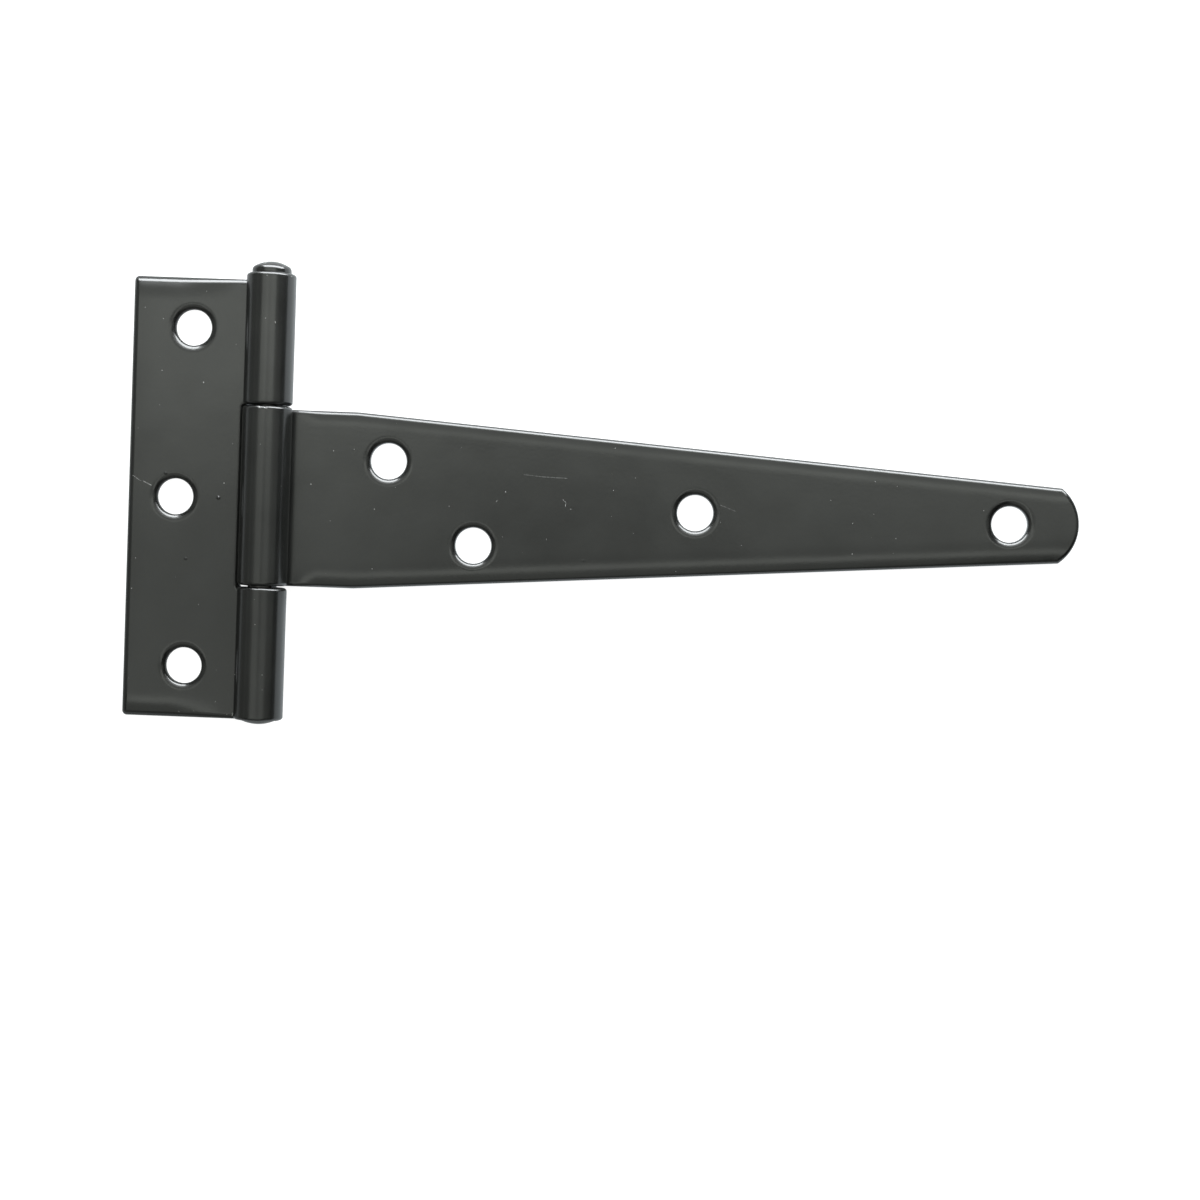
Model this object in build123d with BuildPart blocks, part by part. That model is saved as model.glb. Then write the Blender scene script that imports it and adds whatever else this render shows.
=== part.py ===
from build123d import *
from math import asin, degrees, sqrt
import os

# A tee hinge with a 6 inch strap, open flat, seen from its front.
# +X runs along the strap, +Y along the pin and +Z out of the front faces. The backs lie on Z = 0, the
# pin's axis stands over the origin and the cross leaf's middle hole is level with it.

# Sheet and pin, in millimetres
sheet = 1.9
pin_diameter = 5.5
pin_clearance = 0.05
seam_gap = 0.3

# Pin head and tail
head_diameter = 7.45
head_height = 2.25
head_rim = 1.0
tail_diameter = 6.9
tail_height = 0.8

# Strap
strap_reach = 155.6
strap_width = 34.05
neck_length = 17.0
tip_width = 14.6
tip_radius = 9.0

# Cross leaf
leaf_reach = 26.9
leaf_length = 84.5
leaf_corner_radius = 0.9
notch_clearance = 0.22
notch_corner_radius = 0.5

# The barrel of three knuckles. It sits a little nearer the pin's head than the cross leaf's holes do,
# and the strap's knuckle rides high in the notch, so the lower gap is the wider one.
barrel_length = 85.1
barrel_rise = 0.4
upper_gap = 0.2
lower_gap = 0.5

# Screw holes. Distances are taken from the pin's axis, and the last hole's from the strap's tip.
hole_diameter = 7.0
leaf_hole_spacing = 65.0
leaf_end_hole_reach = 15.3
leaf_middle_hole_reach = 17.9
strap_near_hole_reach = 23.0
strap_far_hole_reach = 39.8
strap_hole_stagger = 15.6
strap_middle_hole_reach = 82.2
tip_hole_inset = 13.2

# The holes were pierced slightly off the middle of each blank.
leaf_hole_rise = 0.2
strap_hole_drop = 0.15

# Eased edges: the blanks' on their front, each knuckle's at both ends and the pin head's
front_bevel = 0.5
shoulder_rounding = 0.8
head_bevel = 0.5

# Sizes that follow from the ones above
pin_radius = pin_diameter / 2
bore_radius = pin_radius + pin_clearance
knuckle_radius = bore_radius + sheet
pin_height = knuckle_radius
head_radius = head_diameter / 2
tail_radius = tail_diameter / 2
hole_radius = hole_diameter / 2
leaf_top = leaf_length / 2 - leaf_hole_rise
leaf_foot = leaf_top - leaf_length
barrel_top = barrel_rise + barrel_length / 2
barrel_foot = barrel_top - barrel_length
strap_half = strap_width / 2
tip_half = tip_width / 2
strap_rise = barrel_rise + (lower_gap - upper_gap) / 2
notch_top = strap_rise + strap_half + upper_gap
notch_foot = strap_rise - strap_half - lower_gap
notch_reach = knuckle_radius + notch_clearance
tip_corner_reach = strap_reach - tip_radius + sqrt(tip_radius**2 - tip_half**2)

# The sheet is rolled up round the far side of the pin and down again, until its lip nearly meets the
# front face that it came from.
lip_dip = degrees(asin((knuckle_radius - sheet - seam_gap) / knuckle_radius))
roll_angle = 270 + lip_dip

# How the flat of a leaf lies beside the pin
FLAT_TO_LEFT = 1
FLAT_TO_RIGHT = -1


def make_knuckle(flat_side, low, high):
    """Sheet rolled once round the pin, between two heights along it."""
    with BuildPart() as knuckle:
        with BuildSketch(Plane.XZ.offset(-high)):
            with BuildLine():
                turn = flat_side * roll_angle
                outer = CenterArc((0, pin_height), knuckle_radius, -90, turn)
                inner = CenterArc((0, pin_height), bore_radius, -90, turn)
                Line(outer @ 0, inner @ 0)
                Line(outer @ 1, inner @ 1)
            make_face()
        extrude(amount=high - low)
        rims = knuckle.edges().filter_by(GeomType.CIRCLE).group_by(SortBy.RADIUS)[-1]
        fillet(rims, shoulder_rounding)
    return knuckle.part


def ease_front(blank):
    """Bevels the edges round a blank's front, apart from where the roll carries on from it."""
    front = blank.faces().sort_by(Axis.Z)[-1]
    rolled = front.edges().filter_by(Axis.Y).filter_by_position(Axis.X, -front_bevel, front_bevel)
    chamfer(front.edges() - rolled, front_bevel)


upper_knuckle = make_knuckle(FLAT_TO_LEFT, notch_top, barrel_top)
lower_knuckle = make_knuckle(FLAT_TO_LEFT, barrel_foot, notch_foot)
middle_knuckle = make_knuckle(FLAT_TO_RIGHT, strap_rise - strap_half, strap_rise + strap_half)

# The cross leaf: a plate with a notch for the strap's knuckle, and a knuckle above and below it
with BuildPart() as cross_leaf:
    with BuildSketch() as leaf_plan:
        with BuildLine():
            Polyline(
                (0, leaf_top),
                (-leaf_reach, leaf_top),
                (-leaf_reach, leaf_foot),
                (0, leaf_foot),
                (0, notch_foot),
                (-notch_reach, notch_foot),
                (-notch_reach, notch_top),
                (0, notch_top),
                close=True,
            )
        make_face()
        fillet(leaf_plan.vertices().group_by(Axis.X)[0], leaf_corner_radius)
        notch_corners = leaf_plan.vertices().filter_by_position(Axis.X, -notch_reach, -notch_reach)
        fillet(notch_corners, notch_corner_radius)
        with Locations(
            (-leaf_end_hole_reach, leaf_hole_spacing / 2),
            (-leaf_middle_hole_reach, 0),
            (-leaf_end_hole_reach, -leaf_hole_spacing / 2),
        ):
            Circle(hole_radius, mode=Mode.SUBTRACT)
    extrude(amount=sheet)
    ease_front(cross_leaf)
    add(upper_knuckle)
    add(lower_knuckle)
cross_leaf.part.label = "cross_leaf"

# The strap: parallel for its neck, then tapered to a rounded tip, with a knuckle rolled at its root
with BuildPart() as strap_leaf:
    with BuildSketch(Plane.XY.move(Location((0, strap_rise, 0)))):
        with BuildLine():
            upper_side = Polyline((0, strap_half), (neck_length, strap_half), (tip_corner_reach, tip_half))
            ThreePointArc(upper_side @ 1, (strap_reach, 0), (tip_corner_reach, -tip_half))
            Polyline(
                (tip_corner_reach, -tip_half),
                (neck_length, -strap_half),
                (0, -strap_half),
                (0, strap_half),
            )
        make_face()
        with Locations(
            (strap_near_hole_reach, strap_hole_stagger / 2 - strap_hole_drop),
            (strap_far_hole_reach, -strap_hole_stagger / 2 - strap_hole_drop),
            (strap_middle_hole_reach, -strap_hole_drop),
            (strap_reach - tip_hole_inset, -strap_hole_drop),
        ):
            Circle(hole_radius, mode=Mode.SUBTRACT)
    extrude(amount=sheet)
    ease_front(strap_leaf)
    add(middle_knuckle)
strap_leaf.part.label = "strap_leaf"

# The pin: plain wire with a domed head above, and a low peened dome below that traps it
with BuildPart() as hinge_pin:
    with BuildSketch(Plane.XY.offset(pin_height)) as pin_profile:
        with BuildLine():
            crown = TangentArc(
                (0, barrel_top + head_height), (head_radius, barrel_top + head_rim), tangent=(1, 0)
            )
            shank = Polyline(
                crown @ 1,
                (head_radius, barrel_top),
                (pin_radius, barrel_top),
                (pin_radius, barrel_foot),
                (tail_radius, barrel_foot),
            )
            tail = TangentArc((0, barrel_foot - tail_height), shank @ 1, tangent=(1, 0))
            Line(tail @ 0, crown @ 0)
        make_face()
        chamfer(pin_profile.vertices().group_by(Axis.X)[-1].sort_by(Axis.Y)[-1], head_bevel)
    revolve(axis=Axis((0, 0, pin_height), (0, 1, 0)))
hinge_pin.part.label = "hinge_pin"

os.makedirs("parts", exist_ok=True)
for piece in (cross_leaf, strap_leaf, hinge_pin):
    export_step(piece.part, f"parts/{piece.part.label}.step")
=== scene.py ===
import math

import bpy
from mathutils import Euler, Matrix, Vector
from mathutils.geometry import delaunay_2d_cdt


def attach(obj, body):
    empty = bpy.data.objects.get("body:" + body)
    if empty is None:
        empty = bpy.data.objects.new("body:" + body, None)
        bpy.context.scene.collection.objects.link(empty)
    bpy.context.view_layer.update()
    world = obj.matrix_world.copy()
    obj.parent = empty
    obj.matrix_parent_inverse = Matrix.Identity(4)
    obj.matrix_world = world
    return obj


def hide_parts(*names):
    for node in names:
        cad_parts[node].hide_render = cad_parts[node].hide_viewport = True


MM = 0.001
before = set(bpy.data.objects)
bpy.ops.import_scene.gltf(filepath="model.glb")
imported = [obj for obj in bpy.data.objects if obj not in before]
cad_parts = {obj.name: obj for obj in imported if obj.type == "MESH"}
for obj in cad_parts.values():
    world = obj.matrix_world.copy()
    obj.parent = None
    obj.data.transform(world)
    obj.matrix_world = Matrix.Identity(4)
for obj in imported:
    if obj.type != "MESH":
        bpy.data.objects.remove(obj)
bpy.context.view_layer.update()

# Sizes of the hinge in millimetres, as in the CAD source
SHEET = 1.9
PIN_RADIUS = 2.75
PIN_CLEARANCE = 0.05
BORE_RADIUS = PIN_RADIUS + PIN_CLEARANCE
KNUCKLE_RADIUS = BORE_RADIUS + SHEET
PIN_HEIGHT = KNUCKLE_RADIUS
HEAD_RADIUS = 3.725
HEAD_HEIGHT = 2.25
HEAD_RIM = 1.0
TAIL_RADIUS = 3.45
TAIL_HEIGHT = 0.8
BARREL_TOP = 42.95
BARREL_FOOT = -42.15

LEAF_REACH = 26.9
LEAF_TOP = 42.05
LEAF_FOOT = -42.45
LEAF_CORNER = 0.9
LEAF_HOLES = [(-15.3, 32.5), (-17.9, 0), (-15.3, -32.5)]

STRAP_REACH = 155.6
STRAP_HALF = 17.025
STRAP_RISE = 0.55
STRAP_TOP = STRAP_RISE + STRAP_HALF
STRAP_FOOT = STRAP_RISE - STRAP_HALF
STRAP_HOLE_RISE = 0.4
STRAP_HOLE_STAGGER = 7.8
TIP_HOLE_INSET = 13.2
NECK = 17.0
TIP_HALF = 7.3
TIP_RADIUS = 9.0
STRAP_HOLES = [
    (23.0, STRAP_HOLE_RISE + STRAP_HOLE_STAGGER),
    (39.8, STRAP_HOLE_RISE - STRAP_HOLE_STAGGER),
    (82.2, STRAP_HOLE_RISE),
    (STRAP_REACH - TIP_HOLE_INSET, STRAP_HOLE_RISE),
]

NOTCH_CLEARANCE = 0.22
NOTCH_CORNER = 0.5
UPPER_GAP = 0.2
LOWER_GAP = 0.5
NOTCH_REACH = KNUCKLE_RADIUS + NOTCH_CLEARANCE
NOTCH_TOP = STRAP_TOP + UPPER_GAP
NOTCH_FOOT = STRAP_FOOT - LOWER_GAP

# Fine sizes that leave the CAD's: the holes' radius, how far the roll turns, how much lower the strap's
# upper side lies, and how much higher three of the knuckles' ends do
HOLE_RADIUS = 3.46
ROLL = math.radians(302.03)
STRAP_EASE = 0.2
UPPER_KNUCKLE_LIFT = 0.1
MIDDLE_KNUCKLE_LIFT = 0.18
LOWER_KNUCKLE_LIFT = 0.25

# Easing of a blank's edges and of its holes' rims: how far it reaches in from the edge and down the
# sheet at the front, and its radius at the back
LEAF_EDGE = {"across": 1.15, "down": 1.0, "back": 0.3}
STRAP_EDGE = {"across": 0.8, "down": 0.65, "back": 0.3}
RIM = {"across": 1.5, "down": 1.0, "back": 0.15}

# Rounded corners of the strap's outline, which the CAD has sharp
NECK_CORNER = 3.0
LOWER_TIP_CORNER = 0.5
UPPER_TIP_CORNER = 0.4

# Roundings of the knuckles: at the lip, at the ends on the outside, and at every other edge
LIP_ROUND = 0.4
SHOULDER_DEEP = 0.8
SHOULDER_LONG = 0.65
SMALL_ROUND = 0.15
LEAST_ROUND = 0.01

# A knuckle's section is the blank's edge beside the flat, and its own from this turn of the roll on.
KNUCKLE_TURN = math.radians(30)

# The waves of a sheared end: depth, waves to a full turn of the roll, and share of the seed
SHEAR_WAVES = [(0.03, 5, 1), (0.02, 13, 2)]

# A dent in the upper end of the strap's knuckle, opposite its root: depth, and spread in radians
DENT_DEPTH = 0.07
DENT_SPREAD = 0.16

# Roundings of the pin's head: under its rim, and from the rim to the crown
HEAD_UNDER_ROUND = 0.12
HEAD_ROUND = 0.9

# How finely round forms are divided
CORNER_STEP = math.radians(7)
HOLE_STEPS = 72
FRONT_EDGE_STEPS = 10
BACK_EDGE_STEPS = 4
SECTION_STEPS = 8
ROLL_STEPS = 120
LIP_STEPS = 6
TURNED_STEPS = 96
DOME_STEPS = 10
HEAD_ROUND_STEPS = 8
HEAD_UNDER_STEPS = 4
TIP_STEPS = 36

# Points of a mesh, or of a flat's outline, that are nearer than this count as one.
SAME_POINT = 1e-5
SAME_OUTLINE_POINT = 1e-4
FLAT_PRECISION = 1e-6

# A triangle is in a hole when its middle lies within this share of the hole's radius.
HOLE_SHARE = 0.98


def spread(start, stop, steps):
    """Evenly spaced numbers, with both ends."""
    return [start + (stop - start) * step / steps for step in range(steps + 1)]


def new_object(name, data):
    thing = bpy.data.objects.new(name, data)
    bpy.context.scene.collection.objects.link(thing)
    return thing


class Shell:
    """A mesh made of smooth patches, each with its exact normals. Points are in millimetres."""

    def __init__(self):
        self.points = []
        self.normals = []
        self.faces = []

    def add_face(self, corners):
        """Adds a face, wound so that it looks the way its normals do."""
        kept = []
        for index in corners:
            if all((self.points[index] - self.points[other]).length >= SAME_POINT for other in kept):
                kept.append(index)
        if len(kept) < 3:
            return
        a, b, c = (self.points[index] for index in kept[:3])
        facing = (b - a).cross(c - a)
        mean = sum((self.normals[index] for index in kept), Vector())
        self.faces.append(kept if facing.dot(mean) > 0 else kept[::-1])

    def add_grid(self, rows, closed=False):
        """Adds a sheet of quads through rows of (point, normal) pairs."""
        start = len(self.points)
        width = len(rows[0])
        for row in rows:
            for point, normal in row:
                self.points.append(Vector(point))
                self.normals.append(Vector(normal).normalized())
        for i in range(len(rows) - 1):
            for j in range(width if closed else width - 1):
                k = (j + 1) % width
                low = start + i * width
                high = low + width
                self.add_face((low + j, low + k, high + k, high + j))

    def add_flat(self, outline, holes, height, up):
        """Adds the flat region inside a loop of points and outside round holes."""
        points = []
        edges = []
        for loop in [outline] + holes:
            kept = [p for i, p in enumerate(loop) if (p - loop[i - 1]).length > SAME_OUTLINE_POINT]
            first = len(points)
            points += kept
            edges += [(first + i, first + (i + 1) % len(kept)) for i in range(len(kept))]

        # Output type 1 fills the outline with triangles. Those that fill a hole are left out.
        output_type = 1
        flat = delaunay_2d_cdt(points, edges, [], output_type, FLAT_PRECISION)
        centres = [sum(hole, Vector((0, 0))) / len(hole) for hole in holes]
        reaches = [HOLE_SHARE * (hole[0] - centre).length for hole, centre in zip(holes, centres)]
        start = len(self.points)
        for point in flat[0]:
            self.points.append(Vector((point.x, point.y, height)))
            self.normals.append(Vector((0, 0, up)))
        for face in flat[2]:
            middle = sum((flat[0][index] for index in face), Vector((0, 0))) / len(face)
            if all((middle - centre).length > reach for centre, reach in zip(centres, reaches)):
                self.add_face([start + index for index in face])

    def make_object(self, name, material):
        """Makes a Blender object of the mesh, in metres."""
        mesh = bpy.data.meshes.new(name)
        mesh.from_pydata([point * MM for point in self.points], [], self.faces)
        mesh.polygons.foreach_set("use_smooth", [True] * len(self.faces))
        mesh.normals_split_custom_set_from_vertices(self.normals)
        mesh.materials.append(material)
        return new_object(name, mesh)


# Blanked sheet. Its edge is chains of stations, and each station knows how to move inwards from it.


class Station:
    """A place on an edge. Its radius is above 0 on an outer corner, below 0 on a hollow one or a hole."""

    def __init__(self, centre, radius, normal, mitre):
        self.centre = centre
        self.radius = radius
        self.normal = normal
        self.mitre = mitre

    def inwards(self, distance):
        if self.radius < 0 or distance <= self.radius:
            return self.centre + self.normal * (self.radius - distance)
        return self.centre - self.mitre * (distance - self.radius)


def chain_through(points, radii):
    """Stations along a line of points with the material on its left, its corners rounded."""
    points = [Vector(point) for point in points]
    stations = []
    last = len(points) - 1
    for i, point in enumerate(points):
        before = (point - points[i - 1]).normalized() if i else (points[1] - point).normalized()
        after = (points[i + 1] - point).normalized() if i < last else before
        out_before = Vector((before.y, -before.x))
        out_after = Vector((after.y, -after.x))
        mitre = (out_before + out_after) / (1 + out_before.dot(out_after))
        turn = math.asin(max(-1, min(1, before.x * after.y - before.y * after.x)))
        if before.dot(after) < 0:
            turn = math.copysign(math.pi, turn) - turn
        radius = radii.get(i, 0)
        if not radius:
            stations.append(Station(point, 0, (out_before + out_after).normalized(), mitre))
            continue
        reach = radius * math.tan(abs(turn) / 2)
        side = 1 if turn > 0 else -1
        centre = point - before * reach - out_before * radius * side
        start = math.atan2(out_before.y, out_before.x)
        for angle in spread(start, start + turn, max(2, math.ceil(abs(turn) / CORNER_STEP))):
            normal = Vector((math.cos(angle), math.sin(angle)))
            stations.append(Station(centre, radius * side, normal, mitre))
    return stations


def hole_chain(x, y):
    """Stations round a hole."""
    stations = []
    for angle in spread(0, 2 * math.pi, HOLE_STEPS)[:-1]:
        inwards = Vector((math.cos(angle), math.sin(angle)))
        stations.append(Station(Vector((x, y)), -HOLE_RADIUS, -inwards, -inwards))
    return stations


def edge_profile(across, down, back):
    """Distance in from the edge, height, and normal, from the front flat round to the back flat."""
    profile = []
    for turn in spread(0, math.pi / 2, FRONT_EDGE_STEPS):
        normal = Vector((math.sin(turn) / across, math.cos(turn) / down)).normalized()
        profile.append((across * (1 - math.sin(turn)), SHEET - down * (1 - math.cos(turn)), normal))
    for turn in spread(0, math.pi / 2, BACK_EDGE_STEPS):
        normal = Vector((math.cos(turn), -math.sin(turn)))
        profile.append((back * (1 - math.cos(turn)), back * (1 - math.sin(turn)), normal))
    return profile


def add_edge(shell, stations, edge, closed=False):
    """Runs an edge's profile along its stations."""
    rows = []
    for distance, height, slope in edge_profile(**edge):
        row = []
        for station in stations:
            point = station.inwards(distance)
            normal = (station.normal.x * slope.x, station.normal.y * slope.x, slope.y)
            row.append(((point.x, point.y, height), normal))
        rows.append(row)
    shell.add_grid(rows, closed)


def add_blank(shell, chains, holes, edge):
    """A blanked plate with eased edges, open where the roll carries on from it."""
    for chain in chains:
        add_edge(shell, chain, edge)
    for hole in holes:
        add_edge(shell, hole, RIM, closed=True)
    for height, up, side in ((SHEET, 1, "across"), (0, -1, "back")):
        outline = [station.inwards(edge[side]) for chain in chains for station in chain]
        rims = [[station.inwards(RIM[side]) for station in hole] for hole in holes]
        shell.add_flat(outline, rims, height, up)


# Rolled knuckle


def section_of_roll(low, high, outer_round, inner_round, inset):
    """Points and normals round the rolled sheet's section, in radius and height along the pin."""
    outer = KNUCKLE_RADIUS - inset
    inner = BORE_RADIUS + inset
    low, high = low + inset, high - inset
    deep, long = (max(size - inset, LEAST_ROUND) for size in outer_round)
    small = max(inner_round - inset, LEAST_ROUND)
    section = []
    corners = (
        (outer - deep, high - long, deep, long, 0),
        (inner + small, high - small, small, small, 90),
        (inner + small, low + small, small, small, 180),
        (outer - deep, low + long, deep, long, 270),
    )
    for radius, height, across, along, start in corners:
        for angle in spread(start, start + 90, SECTION_STEPS):
            turn = math.radians(angle)
            point = (radius + across * math.cos(turn), height + along * math.sin(turn))
            normal = Vector((math.cos(turn) / across, math.sin(turn) / along)).normalized()
            section.append((*point, *normal))
    return section


def ragged(roll, seed):
    """How far a sheared end lies back from straight, at an angle of the roll."""
    return sum(depth * (1 + math.sin(rate * roll + share * seed)) / 2 for depth, rate, share in SHEAR_WAVES)


def add_knuckle(shell, side, low, high, edge_down, dent=0):
    """Sheet rolled round the pin from under it, with a rounded lip. side is 1 for a flat to the left."""
    lip_turn = LIP_ROUND / KNUCKLE_RADIUS
    stops = [(roll, 0, 0) for roll in spread(0, ROLL - lip_turn, ROLL_STEPS)]
    for tip in spread(0, math.pi / 2, LIP_STEPS)[1:]:
        stops.append((ROLL - lip_turn * (1 - math.sin(tip)), LIP_ROUND * (1 - math.cos(tip)), tip))
    rows = []
    for roll, inset, tip in stops:
        ease = min(1, roll / KNUCKLE_TURN)
        outer_round = [SMALL_ROUND + (size - SMALL_ROUND) * ease for size in (SHOULDER_DEEP, SHOULDER_LONG)]
        inner_round = edge_down + (SMALL_ROUND - edge_down) * ease
        foot = low + ragged(roll, high)
        top = high - ragged(roll, low) - dent * math.exp(-(((roll - math.pi) / DENT_SPREAD) ** 2))
        section = section_of_roll(foot, top, outer_round, inner_round, inset)

        angle = -math.pi / 2 + side * roll
        out = Vector((math.cos(angle), 0, math.sin(angle)))
        along = Vector((-math.sin(angle), 0, math.cos(angle))) * side
        row = []
        for radius, height, normal_out, normal_up in section:
            point = out * radius + Vector((0, height, PIN_HEIGHT))
            normal = (out * normal_out + Vector((0, normal_up, 0))) * math.cos(tip) + along * math.sin(tip)
            row.append((point, normal))
        rows.append(row)
    shell.add_grid(rows, closed=True)

    # The lip's end is closed by a fan round its middle.
    cap = [(point, along) for point, normal in rows[-1]]
    middle = sum((point for point, normal in cap), Vector()) / len(cap)
    shell.add_grid([cap, [(middle, along)] * len(cap)], closed=True)


# Pin


def add_turned(shell, profile):
    """Revolves (radius, height) points about the pin's axis. A repeated point makes a sharp edge."""
    runs = [[profile[0]]]
    for before, point in zip(profile, profile[1:]):
        if math.dist(before, point) < SAME_POINT:
            runs.append([])
        runs[-1].append(point)
    for run in runs:
        rows = []
        for i, (radius, height) in enumerate(run):
            before = run[max(i - 1, 0)]
            after = run[min(i + 1, len(run) - 1)]
            slope = Vector((after[1] - before[1], before[0] - after[0]))
            if radius < SAME_POINT:
                slope = Vector((0, slope.y))
            slope.normalize()
            row = []
            for turn in spread(0, 2 * math.pi, TURNED_STEPS)[:-1]:
                out = Vector((math.cos(turn), 0, math.sin(turn)))
                point = out * radius + Vector((0, height, PIN_HEIGHT))
                row.append((point, out * slope.x + Vector((0, slope.y, 0))))
            rows.append(row)
        shell.add_grid(rows, closed=True)


def arc(centre, radius, start, stop, steps):
    """Points of an arc, its angles in degrees anticlockwise from the first axis."""
    points = []
    for angle in spread(start, stop, steps):
        turn = math.radians(angle)
        points.append((centre[0] + radius * math.cos(turn), centre[1] + radius * math.sin(turn)))
    return points


def pin_profile():
    """From the tail's foot up to the crown, going out and round."""
    tail_ball = (TAIL_RADIUS**2 + TAIL_HEIGHT**2) / (2 * TAIL_HEIGHT)
    tail_spread = math.degrees(math.asin(TAIL_RADIUS / tail_ball))
    tail_centre = (0, BARREL_FOOT - TAIL_HEIGHT + tail_ball)
    profile = arc(tail_centre, tail_ball, -90, -90 + tail_spread, DOME_STEPS)
    profile += [profile[-1], (PIN_RADIUS, BARREL_FOOT), (PIN_RADIUS, BARREL_FOOT), (PIN_RADIUS, BARREL_TOP)]

    under = HEAD_UNDER_ROUND
    profile += [profile[-1], (HEAD_RADIUS - under, BARREL_TOP)]
    profile += arc((HEAD_RADIUS - under, BARREL_TOP + under), under, -90, 0, HEAD_UNDER_STEPS)[1:]

    # The rounding touches the head's rim and the crown's ball from inside.
    rise = HEAD_HEIGHT - HEAD_RIM
    ball = (HEAD_RADIUS**2 + rise**2) / (2 * rise)
    crown_centre = BARREL_TOP + HEAD_HEIGHT - ball
    centre_out = HEAD_RADIUS - HEAD_ROUND
    centre_up = crown_centre + math.sqrt((ball - HEAD_ROUND) ** 2 - centre_out**2)
    meet = math.degrees(math.atan2(centre_up - crown_centre, centre_out))
    profile += arc((centre_out, centre_up), HEAD_ROUND, 0, meet, HEAD_ROUND_STEPS)
    profile += arc((0, crown_centre), ball, meet, 90, DOME_STEPS)[1:]
    return profile


# Shader nodes. Each function adds a node and gives the output that the next one needs.


def math_node(tree, operation, first, second):
    node = tree.nodes.new("ShaderNodeMath")
    node.operation = operation
    for socket, value in zip(node.inputs, (first, second)):
        if isinstance(value, (int, float)):
            socket.default_value = value
        else:
            tree.links.new(value, socket)
    return node.outputs[0]


def noise_node(tree, place, scale, detail):
    node = tree.nodes.new("ShaderNodeTexNoise")
    node.inputs["Scale"].default_value = scale
    node.inputs["Detail"].default_value = detail
    tree.links.new(place, node.inputs["Vector"])
    return node.outputs["Fac"]


def ramp_node(tree, value, low, high, out_low, out_high):
    node = tree.nodes.new("ShaderNodeMapRange")
    for name, number in (("From Min", low), ("From Max", high), ("To Min", out_low), ("To Max", out_high)):
        node.inputs[name].default_value = number
    tree.links.new(value, node.inputs["Value"])
    return node.outputs["Result"]


def vector_node(tree, operation, first, second=None, scale=None):
    node = tree.nodes.new("ShaderNodeVectorMath")
    node.operation = operation
    for socket, value in zip(node.inputs, (first, second)):
        if isinstance(value, tuple):
            socket.default_value = value
        elif value is not None:
            tree.links.new(value, socket)
    if scale is not None:
        tree.links.new(scale, node.inputs["Scale"])
    return node.outputs["Value" if operation in ("LENGTH", "DOT_PRODUCT") else "Vector"]


def axes_node(tree, vector):
    node = tree.nodes.new("ShaderNodeSeparateXYZ")
    tree.links.new(vector, node.inputs[0])
    return node.outputs


def mix_node(tree, factor, first, second):
    """Mixes two colours. Each is a tuple or comes from another node. Only the colour sockets are used."""
    node = tree.nodes.new("ShaderNodeMix")
    node.data_type = "RGBA"
    tree.links.new(factor, node.inputs[0])
    for socket, value in ((node.inputs[6], first), (node.inputs[7], second)):
        if isinstance(value, tuple):
            socket.default_value = (*value, 1)
        else:
            tree.links.new(value, socket)
    return node.outputs[2]


def bump_node(tree, height, distance, before=None):
    node = tree.nodes.new("ShaderNodeBump")
    node.inputs["Strength"].default_value = 1.0
    node.inputs["Distance"].default_value = distance
    tree.links.new(height, node.inputs["Height"])
    if before is not None:
        tree.links.new(before, node.inputs["Normal"])
    return node.outputs["Normal"]


def add_node(tree, first, second):
    """Adds two shaders."""
    node = tree.nodes.new("ShaderNodeAddShader")
    tree.links.new(first, node.inputs[0])
    tree.links.new(second, node.inputs[1])
    return node.outputs[0]


def glow_node(tree, ray, strength, colour):
    """Light that one kind of ray sees. Its strength is a number or comes from another node."""
    path = tree.nodes.new("ShaderNodeLightPath")
    node = tree.nodes.new("ShaderNodeEmission")
    node.inputs["Color"].default_value = (*colour, 1)
    tree.links.new(math_node(tree, "MULTIPLY", path.outputs[ray], strength), node.inputs["Strength"])
    return node.outputs[0]


# Powder coat. Noise scales are in waves to the metre, and heights in millimetres. NOISE_RANGE holds
# nearly all of a noise's values.
SHEET_COLOUR = (0.0058, 0.006, 0.0057)
PIN_COLOUR = (0.0055, 0.0057, 0.0055)
SHEET_ROUGHNESS = 0.21
PIN_ROUGHNESS = 0.18
COAT_IOR = 1.5
NOISE_RANGE = (0.3, 0.7)
TONE_SCALE = 110
TONE_DARK = 0.8
TONE_LIGHT = 1.25
SHEEN_SCALE = 90
SHEEN_CHANGE = 0.02
WAVE_SCALE = 110
WAVE_HEIGHT = 0.05
PEEL_SCALE = 1500
PEEL_HEIGHT = 0.008

# Marks and dust, which lie on surfaces that face forwards by more than the limit
MARK_COLOUR = (0.24, 0.24, 0.235)
MARK_ROUGHNESS = 0.6
MARK_BREAK_SCALE = 2600
MARK_BREAK_RANGE = (0.42, 0.56)
LEAST_MARK = 0.25
NIB_HEIGHT = 0.14
FACING_LIMIT = 0.25

# Dust lies in cells of about 4 mm: their scale, the share of them without a speck, the largest speck in
# shares of a cell, and the range of strengths
DUST_SCALE = 240
DUST_FREE = 0.8
DUST_SIZE = 0.028
DUST_STRENGTH = (0.3, 0.8)

# Roll-over of a blank's front, as a die leaves it: how far it reaches in from the edge, and its depth.
# The power says how late it falls.
ROLL_OVER_POWER = 3
LEAF_END_ROLL_OVER = (5.5, 0.75)
LEAF_SIDE_ROLL_OVER = (5.5, 0.26)
STRAP_UPPER_ROLL_OVER = (3.6, 0.42)
STRAP_LOWER_ROLL_OVER = (5.5, 0.75)

# Where the roll-over fades towards the barrel, and where the strap's taper ends for it
LEAF_FADE = (-18, -7)
STRAP_FADE = (5.5, 10)
TAPER_END = 151

# Where a mark fades out, in shares of its half width
MARK_FADE = (0.4, 1.3)


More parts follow.
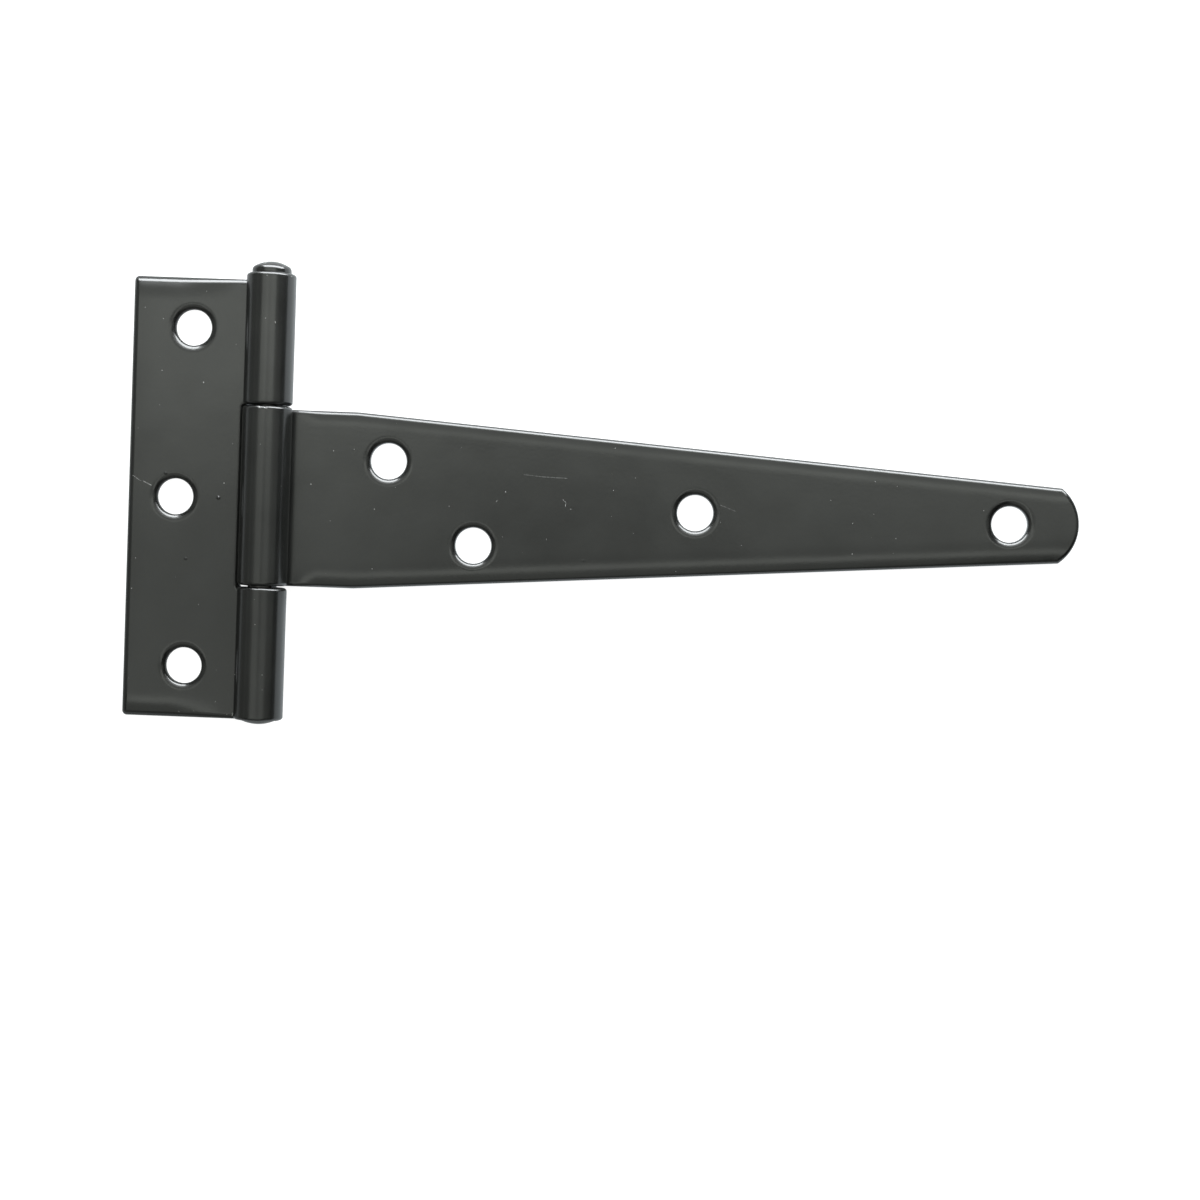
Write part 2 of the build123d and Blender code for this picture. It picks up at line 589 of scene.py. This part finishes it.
def near_line(tree, place, start, stop, half_width, strength):
    """A mask that fades out across a line between two points on the front, given in millimetres."""
    start = Vector((*start, 0)) * MM
    run = Vector((*stop, 0)) * MM - start
    away = vector_node(tree, "SUBTRACT", place, tuple(start))
    part = vector_node(tree, "DOT_PRODUCT", away, tuple(run / run.dot(run)))
    part = ramp_node(tree, part, 0, 1, 0, 1)
    foot = vector_node(tree, "SCALE", tuple(run), scale=part)
    distance = vector_node(tree, "LENGTH", vector_node(tree, "SUBTRACT", away, foot))
    full, gone = (share * half_width * MM for share in MARK_FADE)
    return ramp_node(tree, distance, full, gone, strength, 0)


def strongest(tree, masks):
    total = masks[0]
    for mask in masks[1:]:
        total = math_node(tree, "MAXIMUM", total, mask)
    return total


def dust(tree, place):
    """Specks of dust in some of the cells of a pattern."""
    cells = tree.nodes.new("ShaderNodeTexVoronoi")
    cells.voronoi_dimensions = "2D"
    cells.inputs["Scale"].default_value = DUST_SCALE
    tree.links.new(place, cells.inputs["Vector"])
    parts = tree.nodes.new("ShaderNodeSeparateColor")
    tree.links.new(cells.outputs["Color"], parts.inputs[0])
    size = ramp_node(tree, parts.outputs[0], DUST_FREE, 1, 0, DUST_SIZE)
    speck = math_node(tree, "LESS_THAN", cells.outputs["Distance"], size)
    return math_node(tree, "MULTIPLY", speck, ramp_node(tree, parts.outputs[1], 0, 1, *DUST_STRENGTH))


def fade(tree, place, limits, first, last):
    """Goes from one number to another between two places in millimetres."""
    start, stop = limits
    return ramp_node(tree, place, start * MM, stop * MM, first, last)


def rolled_over(tree, distance, reach, depth):
    """Falls from 0 on the flat to a depth at an edge, over the last few millimetres before it."""
    near = ramp_node(tree, distance, 0, reach * MM, 1, 0)
    return math_node(tree, "MULTIPLY", math_node(tree, "POWER", near, ROLL_OVER_POWER), -depth)


def leaf_roll_over(tree, x, y):
    from_top = math_node(tree, "SUBTRACT", LEAF_TOP * MM, y)
    from_foot = math_node(tree, "SUBTRACT", y, LEAF_FOOT * MM)
    from_side = math_node(tree, "ADD", x, LEAF_REACH * MM)
    ends = rolled_over(tree, math_node(tree, "MINIMUM", from_top, from_foot), *LEAF_END_ROLL_OVER)
    ends = math_node(tree, "MULTIPLY", ends, fade(tree, x, LEAF_FADE, 1, 0))
    return math_node(tree, "ADD", ends, rolled_over(tree, from_side, *LEAF_SIDE_ROLL_OVER))


def strap_roll_over(tree, x, y):
    half = ramp_node(tree, x, NECK * MM, TAPER_END * MM, STRAP_HALF * MM, TIP_HALF * MM)
    rise = math_node(tree, "SUBTRACT", y, STRAP_RISE * MM)
    above = rolled_over(tree, math_node(tree, "SUBTRACT", half, rise), *STRAP_UPPER_ROLL_OVER)
    below = rolled_over(tree, math_node(tree, "ADD", half, rise), *STRAP_LOWER_ROLL_OVER)
    sides = math_node(tree, "ADD", above, below)
    return math_node(tree, "MULTIPLY", sides, fade(tree, x, STRAP_FADE, 0, 1))


def powder_coat(name, base, rough, scratches, nibs, roll_over=None):
    """Satin powder coat with a fine orange peel, slow changes of sheen and tone, dust and small marks."""
    material = bpy.data.materials.new(name)
    material.use_nodes = True
    tree = material.node_tree
    shader = tree.nodes["Principled BSDF"]
    shader.inputs["Base Color"].default_value = (*base, 1)
    shader.inputs["IOR"].default_value = COAT_IOR

    coordinates = tree.nodes.new("ShaderNodeTexCoord")
    place = coordinates.outputs["Object"]
    flat_place = vector_node(tree, "MULTIPLY", place, (1.0, 1.0, 0.0))
    facing = axes_node(tree, coordinates.outputs["Normal"])
    front = math_node(tree, "GREATER_THAN", facing["Z"], FACING_LIMIT)

    worn = strongest(tree, [near_line(tree, flat_place, *mark) for mark in scratches])
    grain = noise_node(tree, place, MARK_BREAK_SCALE, detail=2)
    worn = math_node(tree, "MULTIPLY", worn, ramp_node(tree, grain, *MARK_BREAK_RANGE, LEAST_MARK, 1))
    pale = math_node(tree, "MULTIPLY", strongest(tree, [worn, dust(tree, flat_place)]), front)

    tone = ramp_node(tree, noise_node(tree, place, TONE_SCALE, detail=3), *NOISE_RANGE, 0, 1)
    dark = tuple(TONE_DARK * part for part in base)
    light = tuple(TONE_LIGHT * part for part in base)
    colour = mix_node(tree, pale, mix_node(tree, tone, dark, light), MARK_COLOUR)
    tree.links.new(colour, shader.inputs["Base Color"])

    sheen = noise_node(tree, place, SHEEN_SCALE, detail=3)
    sheen = ramp_node(tree, sheen, *NOISE_RANGE, rough - SHEEN_CHANGE, rough + SHEEN_CHANGE)
    dull = math_node(tree, "MULTIPLY", pale, MARK_ROUGHNESS)
    tree.links.new(math_node(tree, "MAXIMUM", sheen, dull), shader.inputs["Roughness"])

    normal = bump_node(tree, noise_node(tree, place, WAVE_SCALE, detail=1), WAVE_HEIGHT * MM)
    if roll_over:
        axes = axes_node(tree, place)
        height = roll_over(tree, axes["X"], axes["Y"])
        normal = bump_node(tree, math_node(tree, "MULTIPLY", height, front), MM, normal)
    raised = strongest(tree, [near_line(tree, flat_place, *mark) for mark in nibs])
    normal = bump_node(tree, math_node(tree, "MULTIPLY", raised, front), NIB_HEIGHT * MM, normal)
    normal = bump_node(tree, noise_node(tree, place, PEEL_SCALE, detail=2), PEEL_HEIGHT * MM, normal)
    tree.links.new(normal, shader.inputs["Normal"])
    return material


# Marks on the fronts in millimetres: start, stop, half width and strength
LEAF_SCRATCHES = [
    ((-25.98, 3.70), (-24.48, 2.74), 0.07, 0.5),
    ((-23.88, 2.66), (-22.40, 1.97), 0.08, 0.7),
    ((-12.96, 22.00), (-12.94, 21.97), 0.13, 0.8),
    ((-24.58, 35.99), (-24.57, 35.96), 0.10, 0.4),
    ((-6.85, 29.50), (-6.84, 29.46), 0.10, 0.6),
    ((-6.96, 10.51), (-6.95, 10.48), 0.10, 0.6),
    ((-25.61, -18.00), (-25.60, -17.98), 0.10, 0.7),
    ((-15.81, -41.34), (-15.60, -41.50), 0.07, 0.5),
    ((-5.37, -41.30), (-5.45, -41.85), 0.10, 0.7),
    ((-6.51, -41.60), (-6.47, -41.62), 0.11, 0.6),
    ((1.60, 33.50), (1.66, 33.20), 0.07, 0.5),
    ((1.28, -33.25), (1.30, -33.22), 0.09, 0.5),
    ((1.37, -36.09), (1.38, -36.05), 0.09, 0.5),
]
LEAF_NIBS = [
    ((-9.40, 0.00), (-9.38, -0.02), 0.30, 1.0),
    ((-15.37, -11.89), (-15.36, -11.90), 0.24, 0.8),
    ((-19.71, 4.37), (-19.70, 4.36), 0.24, 0.7),
]
STRAP_SCRATCHES = [
    ((49.17, 6.57), (52.69, 6.27), 0.06, 0.25),
    ((52.69, 6.27), (57.49, 6.14), 0.06, 0.35),
    ((56.78, 2.03), (57.37, 1.48), 0.08, 0.55),
    ((57.37, 1.48), (57.28, 0.79), 0.08, 0.6),
    ((43.95, 1.15), (44.25, 1.45), 0.08, 0.6),
    ((34.97, 0.04), (34.98, 0.02), 0.10, 0.6),
    ((86.86, 2.11), (89.77, 1.07), 0.07, 0.25),
    ((142.24, 2.79), (142.67, 1.85), 0.08, 0.5),
    ((139.72, -0.75), (139.74, -0.77), 0.10, 0.6),
    ((144.69, -0.95), (144.70, -0.98), 0.10, 0.5),
    ((-0.98, 17.30), (-0.70, 17.20), 0.12, 0.7),
    ((0.10, 17.25), (0.60, 17.10), 0.10, 0.6),
]
STRAP_NIBS = [((61.00, -9.50), (61.02, -9.52), 0.22, 0.5)]
PIN_SCRATCHES = [
    ((-1.20, 44.60), (-0.70, 44.70), 0.08, 0.5),
    ((1.70, 44.10), (1.90, 43.90), 0.08, 0.4),
]
PIN_NIBS = [((2.60, 44.00), (2.62, 44.02), 0.20, 0.4)]

# The camera: the photograph's size and focal length in pixels, the sensor's width in millimetres, and
# the camera's place in metres and turn in radians
IMAGE = 1200
FOCAL_PX = 2243.0
SENSOR = 36.0
CAMERA_PLACE = (0.070731, -0.0041278, 0.431915)
CAMERA_TURN = (-0.02919, 0.01541, 0.0365)

# Lamps: name, place, aim, size in metres, radiance and colour. One without an aim looks straight down.
# Lamps that overlap hang at slightly different heights.
TUBE_LIGHT = (0.955, 1.0, 0.93)
DAYLIGHT = (0.95, 0.985, 1.0)
LAMPS = [
    ("ceiling", (0.425, 0.0, 0.75), None, (2.35, 0.30), 0.53, TUBE_LIGHT),
    ("tube", (-0.025, 0.10, 0.748), None, (0.95, 0.10), 1.7, TUBE_LIGHT),
    ("tube_right", (0.40, 0.10, 0.746), None, (0.60, 0.10), 0.4, TUBE_LIGHT),
    ("tube_middle", (-0.125, 0.0, 0.744), None, (0.15, 0.30), 0.54, TUBE_LIGHT),
    ("ceiling_left", (-1.05, 0.05, 0.75), None, (0.60, 0.60), 0.35, TUBE_LIGHT),
    ("ceiling_back_near", (-0.025, 0.225, 0.75), None, (0.95, 0.15), 1.2, TUBE_LIGHT),
    ("ceiling_left_near", (-0.325, -0.05, 0.742), None, (0.25, 0.20), 0.5, TUBE_LIGHT),
    ("ceiling_right_near", (0.30, -0.05, 0.742), None, (0.40, 0.20), 0.3, TUBE_LIGHT),
    ("ceiling_back", (-0.10, 0.70, 0.75), None, (1.30, 0.80), 1.0, TUBE_LIGHT),
    ("front_tube", (-0.025, -0.22, 0.75), None, (0.95, 0.13), 2.2, TUBE_LIGHT),
    ("ceiling_front", (-0.20, -0.70, 0.75), None, (1.10, 0.80), 0.75, TUBE_LIGHT),
    ("front", (0.0, -0.6, 0.2), (0, 0, 0.2), (1.4, 0.4), 0.32, TUBE_LIGHT),
    ("left", (-0.6, 0.0, 0.2), (0, 0, 0.2), (1.0, 0.4), 0.3, TUBE_LIGHT),
    ("side_panel", (0.105, 0.175, 0.065), (0.105, 0, 0.065), (0.40, 0.12), 20, DAYLIGHT),
    ("side_panel_top", (0.105, 0.20, 0.215), (0.105, 0, 0.215), (0.50, 0.17), 2.0, DAYLIGHT),
]

# Floor and world. The floor glows for mirrored rays only: dimly on the leaf's side, and brighter and bluish
# on the strap's side. This is a painted reflection of window light on the floor, which no lamp gives. The
# two strengths, and the places in millimetres between which one goes over into the other.
WHITE = (1, 1, 1)
FLOOR_HALF = 3.0
FLOOR_COLOUR = (0.25, 0.25, 0.25)
FLOOR_SEEN = 0.92
PAINTED_REFLECTION_STRENGTHS = (0.22, 0.95)
PAINTED_REFLECTION_BLEND = (3, 9)
PAINTED_REFLECTION_COLOUR = (0.86, 0.95, 1)
WORLD_SEEN = 0.99
WORLD_LIGHT = 0.01


def make_camera():
    data = bpy.data.cameras.new("camera")
    data.sensor_width = SENSOR
    data.lens = FOCAL_PX / IMAGE * SENSOR
    data.clip_start = 0.01
    data.clip_end = 50
    camera = new_object("camera", data)
    camera.location = CAMERA_PLACE
    camera.rotation_euler = Euler(CAMERA_TURN)
    bpy.context.scene.camera = camera


def make_lamp(name, place, aim, size, radiance, colour):
    """A rectangular lamp of an even radiance, which the camera doesn't see."""
    data = bpy.data.lights.new(name, "AREA")
    data.shape = "RECTANGLE"
    data.size, data.size_y = size
    data.energy = radiance * math.pi * size[0] * size[1]
    data.color = colour
    lamp = new_object(name, data)
    lamp.location = place
    if aim:
        lamp.rotation_euler = (Vector(aim) - Vector(place)).to_track_quat("-Z", "Y").to_euler()
    lamp.visible_camera = False


def make_floor():
    half = FLOOR_HALF
    mesh = bpy.data.meshes.new("floor")
    corners = [(-half, -half, 0), (half, -half, 0), (half, half, 0), (-half, half, 0)]
    mesh.from_pydata(corners, [], [(0, 1, 2, 3)])
    floor = new_object("floor", mesh)
    material = bpy.data.materials.new("floor")
    material.use_nodes = True
    tree = material.node_tree
    tree.nodes.clear()
    diffuse = tree.nodes.new("ShaderNodeBsdfDiffuse")
    diffuse.inputs["Color"].default_value = (*FLOOR_COLOUR, 1)
    x = axes_node(tree, tree.nodes.new("ShaderNodeTexCoord").outputs["Object"])["X"]
    # Painted reflection: a glow that only glossy rays see, brighter and bluish on the strap's side, stands
    # in for window light on the floor
    painted_reflection_strength = fade(tree, x, PAINTED_REFLECTION_BLEND, *PAINTED_REFLECTION_STRENGTHS)
    seen = glow_node(tree, "Is Camera Ray", FLOOR_SEEN, WHITE)
    painted_reflection = glow_node(tree, "Is Glossy Ray", painted_reflection_strength, PAINTED_REFLECTION_COLOUR)
    surface = add_node(tree, diffuse.outputs[0], add_node(tree, seen, painted_reflection))
    out = tree.nodes.new("ShaderNodeOutputMaterial")
    tree.links.new(surface, out.inputs["Surface"])
    mesh.materials.append(material)


def make_world():
    """Nearly dark, but seen by the camera as white, so that the backdrop goes on beyond the floor."""
    world = bpy.data.worlds.new("studio")
    bpy.context.scene.world = world
    world.use_nodes = True
    tree = world.node_tree
    background = tree.nodes["Background"]
    background.inputs["Color"].default_value = (*WHITE, 1)
    path = tree.nodes.new("ShaderNodeLightPath")
    seen = math_node(tree, "MULTIPLY", path.outputs["Is Camera Ray"], WORLD_SEEN)
    tree.links.new(math_node(tree, "ADD", seen, WORLD_LIGHT), background.inputs["Strength"])


make_camera()
make_world()
make_floor()
for lamp in LAMPS:
    make_lamp(*lamp)
bpy.context.scene.view_settings.view_transform = "Standard"

coats = {
    "cross_leaf": powder_coat(
        "coat_leaf", SHEET_COLOUR, SHEET_ROUGHNESS, LEAF_SCRATCHES, LEAF_NIBS, leaf_roll_over
    ),
    "strap_leaf": powder_coat(
        "coat_strap", SHEET_COLOUR, SHEET_ROUGHNESS, STRAP_SCRATCHES, STRAP_NIBS, strap_roll_over
    ),
    "hinge_pin": powder_coat("coat_pin", PIN_COLOUR, PIN_ROUGHNESS, PIN_SCRATCHES, PIN_NIBS),
}
for name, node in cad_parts.items():
    for slot in node.material_slots:
        slot.material = coats[name]

# The cross leaf, with an outer knuckle above and below its notch
outer_line = [(0, LEAF_TOP), (-LEAF_REACH, LEAF_TOP), (-LEAF_REACH, LEAF_FOOT), (0, LEAF_FOOT)]
notch_line = [(0, NOTCH_FOOT), (-NOTCH_REACH, NOTCH_FOOT), (-NOTCH_REACH, NOTCH_TOP), (0, NOTCH_TOP)]
leaf_chains = [
    chain_through(outer_line, {1: LEAF_CORNER, 2: LEAF_CORNER}),
    chain_through(notch_line, {1: NOTCH_CORNER, 2: NOTCH_CORNER}),
]
leaf = Shell()
add_blank(leaf, leaf_chains, [hole_chain(*place) for place in LEAF_HOLES], LEAF_EDGE)
add_knuckle(leaf, 1, NOTCH_TOP + UPPER_KNUCKLE_LIFT, BARREL_TOP, LEAF_EDGE["down"])
add_knuckle(leaf, 1, BARREL_FOOT, NOTCH_FOOT + LOWER_KNUCKLE_LIFT, LEAF_EDGE["down"])
leaf_piece = leaf.make_object("leaf_fine", coats["cross_leaf"])
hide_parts("cross_leaf")
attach(leaf_piece, "cross_leaf")

# The strap, from its lower side round the tip and back along its upper one, and the middle knuckle
tip_low = math.degrees(math.asin(TIP_HALF / TIP_RADIUS))
tip_high = math.degrees(math.asin((TIP_HALF - STRAP_EASE) / TIP_RADIUS))
strap_line = [(0, STRAP_FOOT), (NECK, STRAP_FOOT)]
strap_line += arc((STRAP_REACH - TIP_RADIUS, STRAP_RISE), TIP_RADIUS, -tip_low, tip_high, TIP_STEPS)
strap_line += [(NECK, STRAP_TOP - STRAP_EASE), (0, STRAP_TOP - STRAP_EASE)]
strap_corners = {1: NECK_CORNER, 2: LOWER_TIP_CORNER}
strap_corners |= {2 + TIP_STEPS: UPPER_TIP_CORNER, 3 + TIP_STEPS: NECK_CORNER}
strap_chain = chain_through(strap_line, strap_corners)
strap = Shell()
add_blank(strap, [strap_chain], [hole_chain(*place) for place in STRAP_HOLES], STRAP_EDGE)
add_knuckle(strap, -1, STRAP_FOOT, STRAP_TOP + MIDDLE_KNUCKLE_LIFT, STRAP_EDGE["down"], DENT_DEPTH)
strap_piece = strap.make_object("strap_fine", coats["strap_leaf"])
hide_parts("strap_leaf")
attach(strap_piece, "strap")

# The pin
pin = Shell()
add_turned(pin, pin_profile())
pin_piece = pin.make_object("pin_fine", coats["hinge_pin"])
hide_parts("hinge_pin")
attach(pin_piece, "cross_leaf")
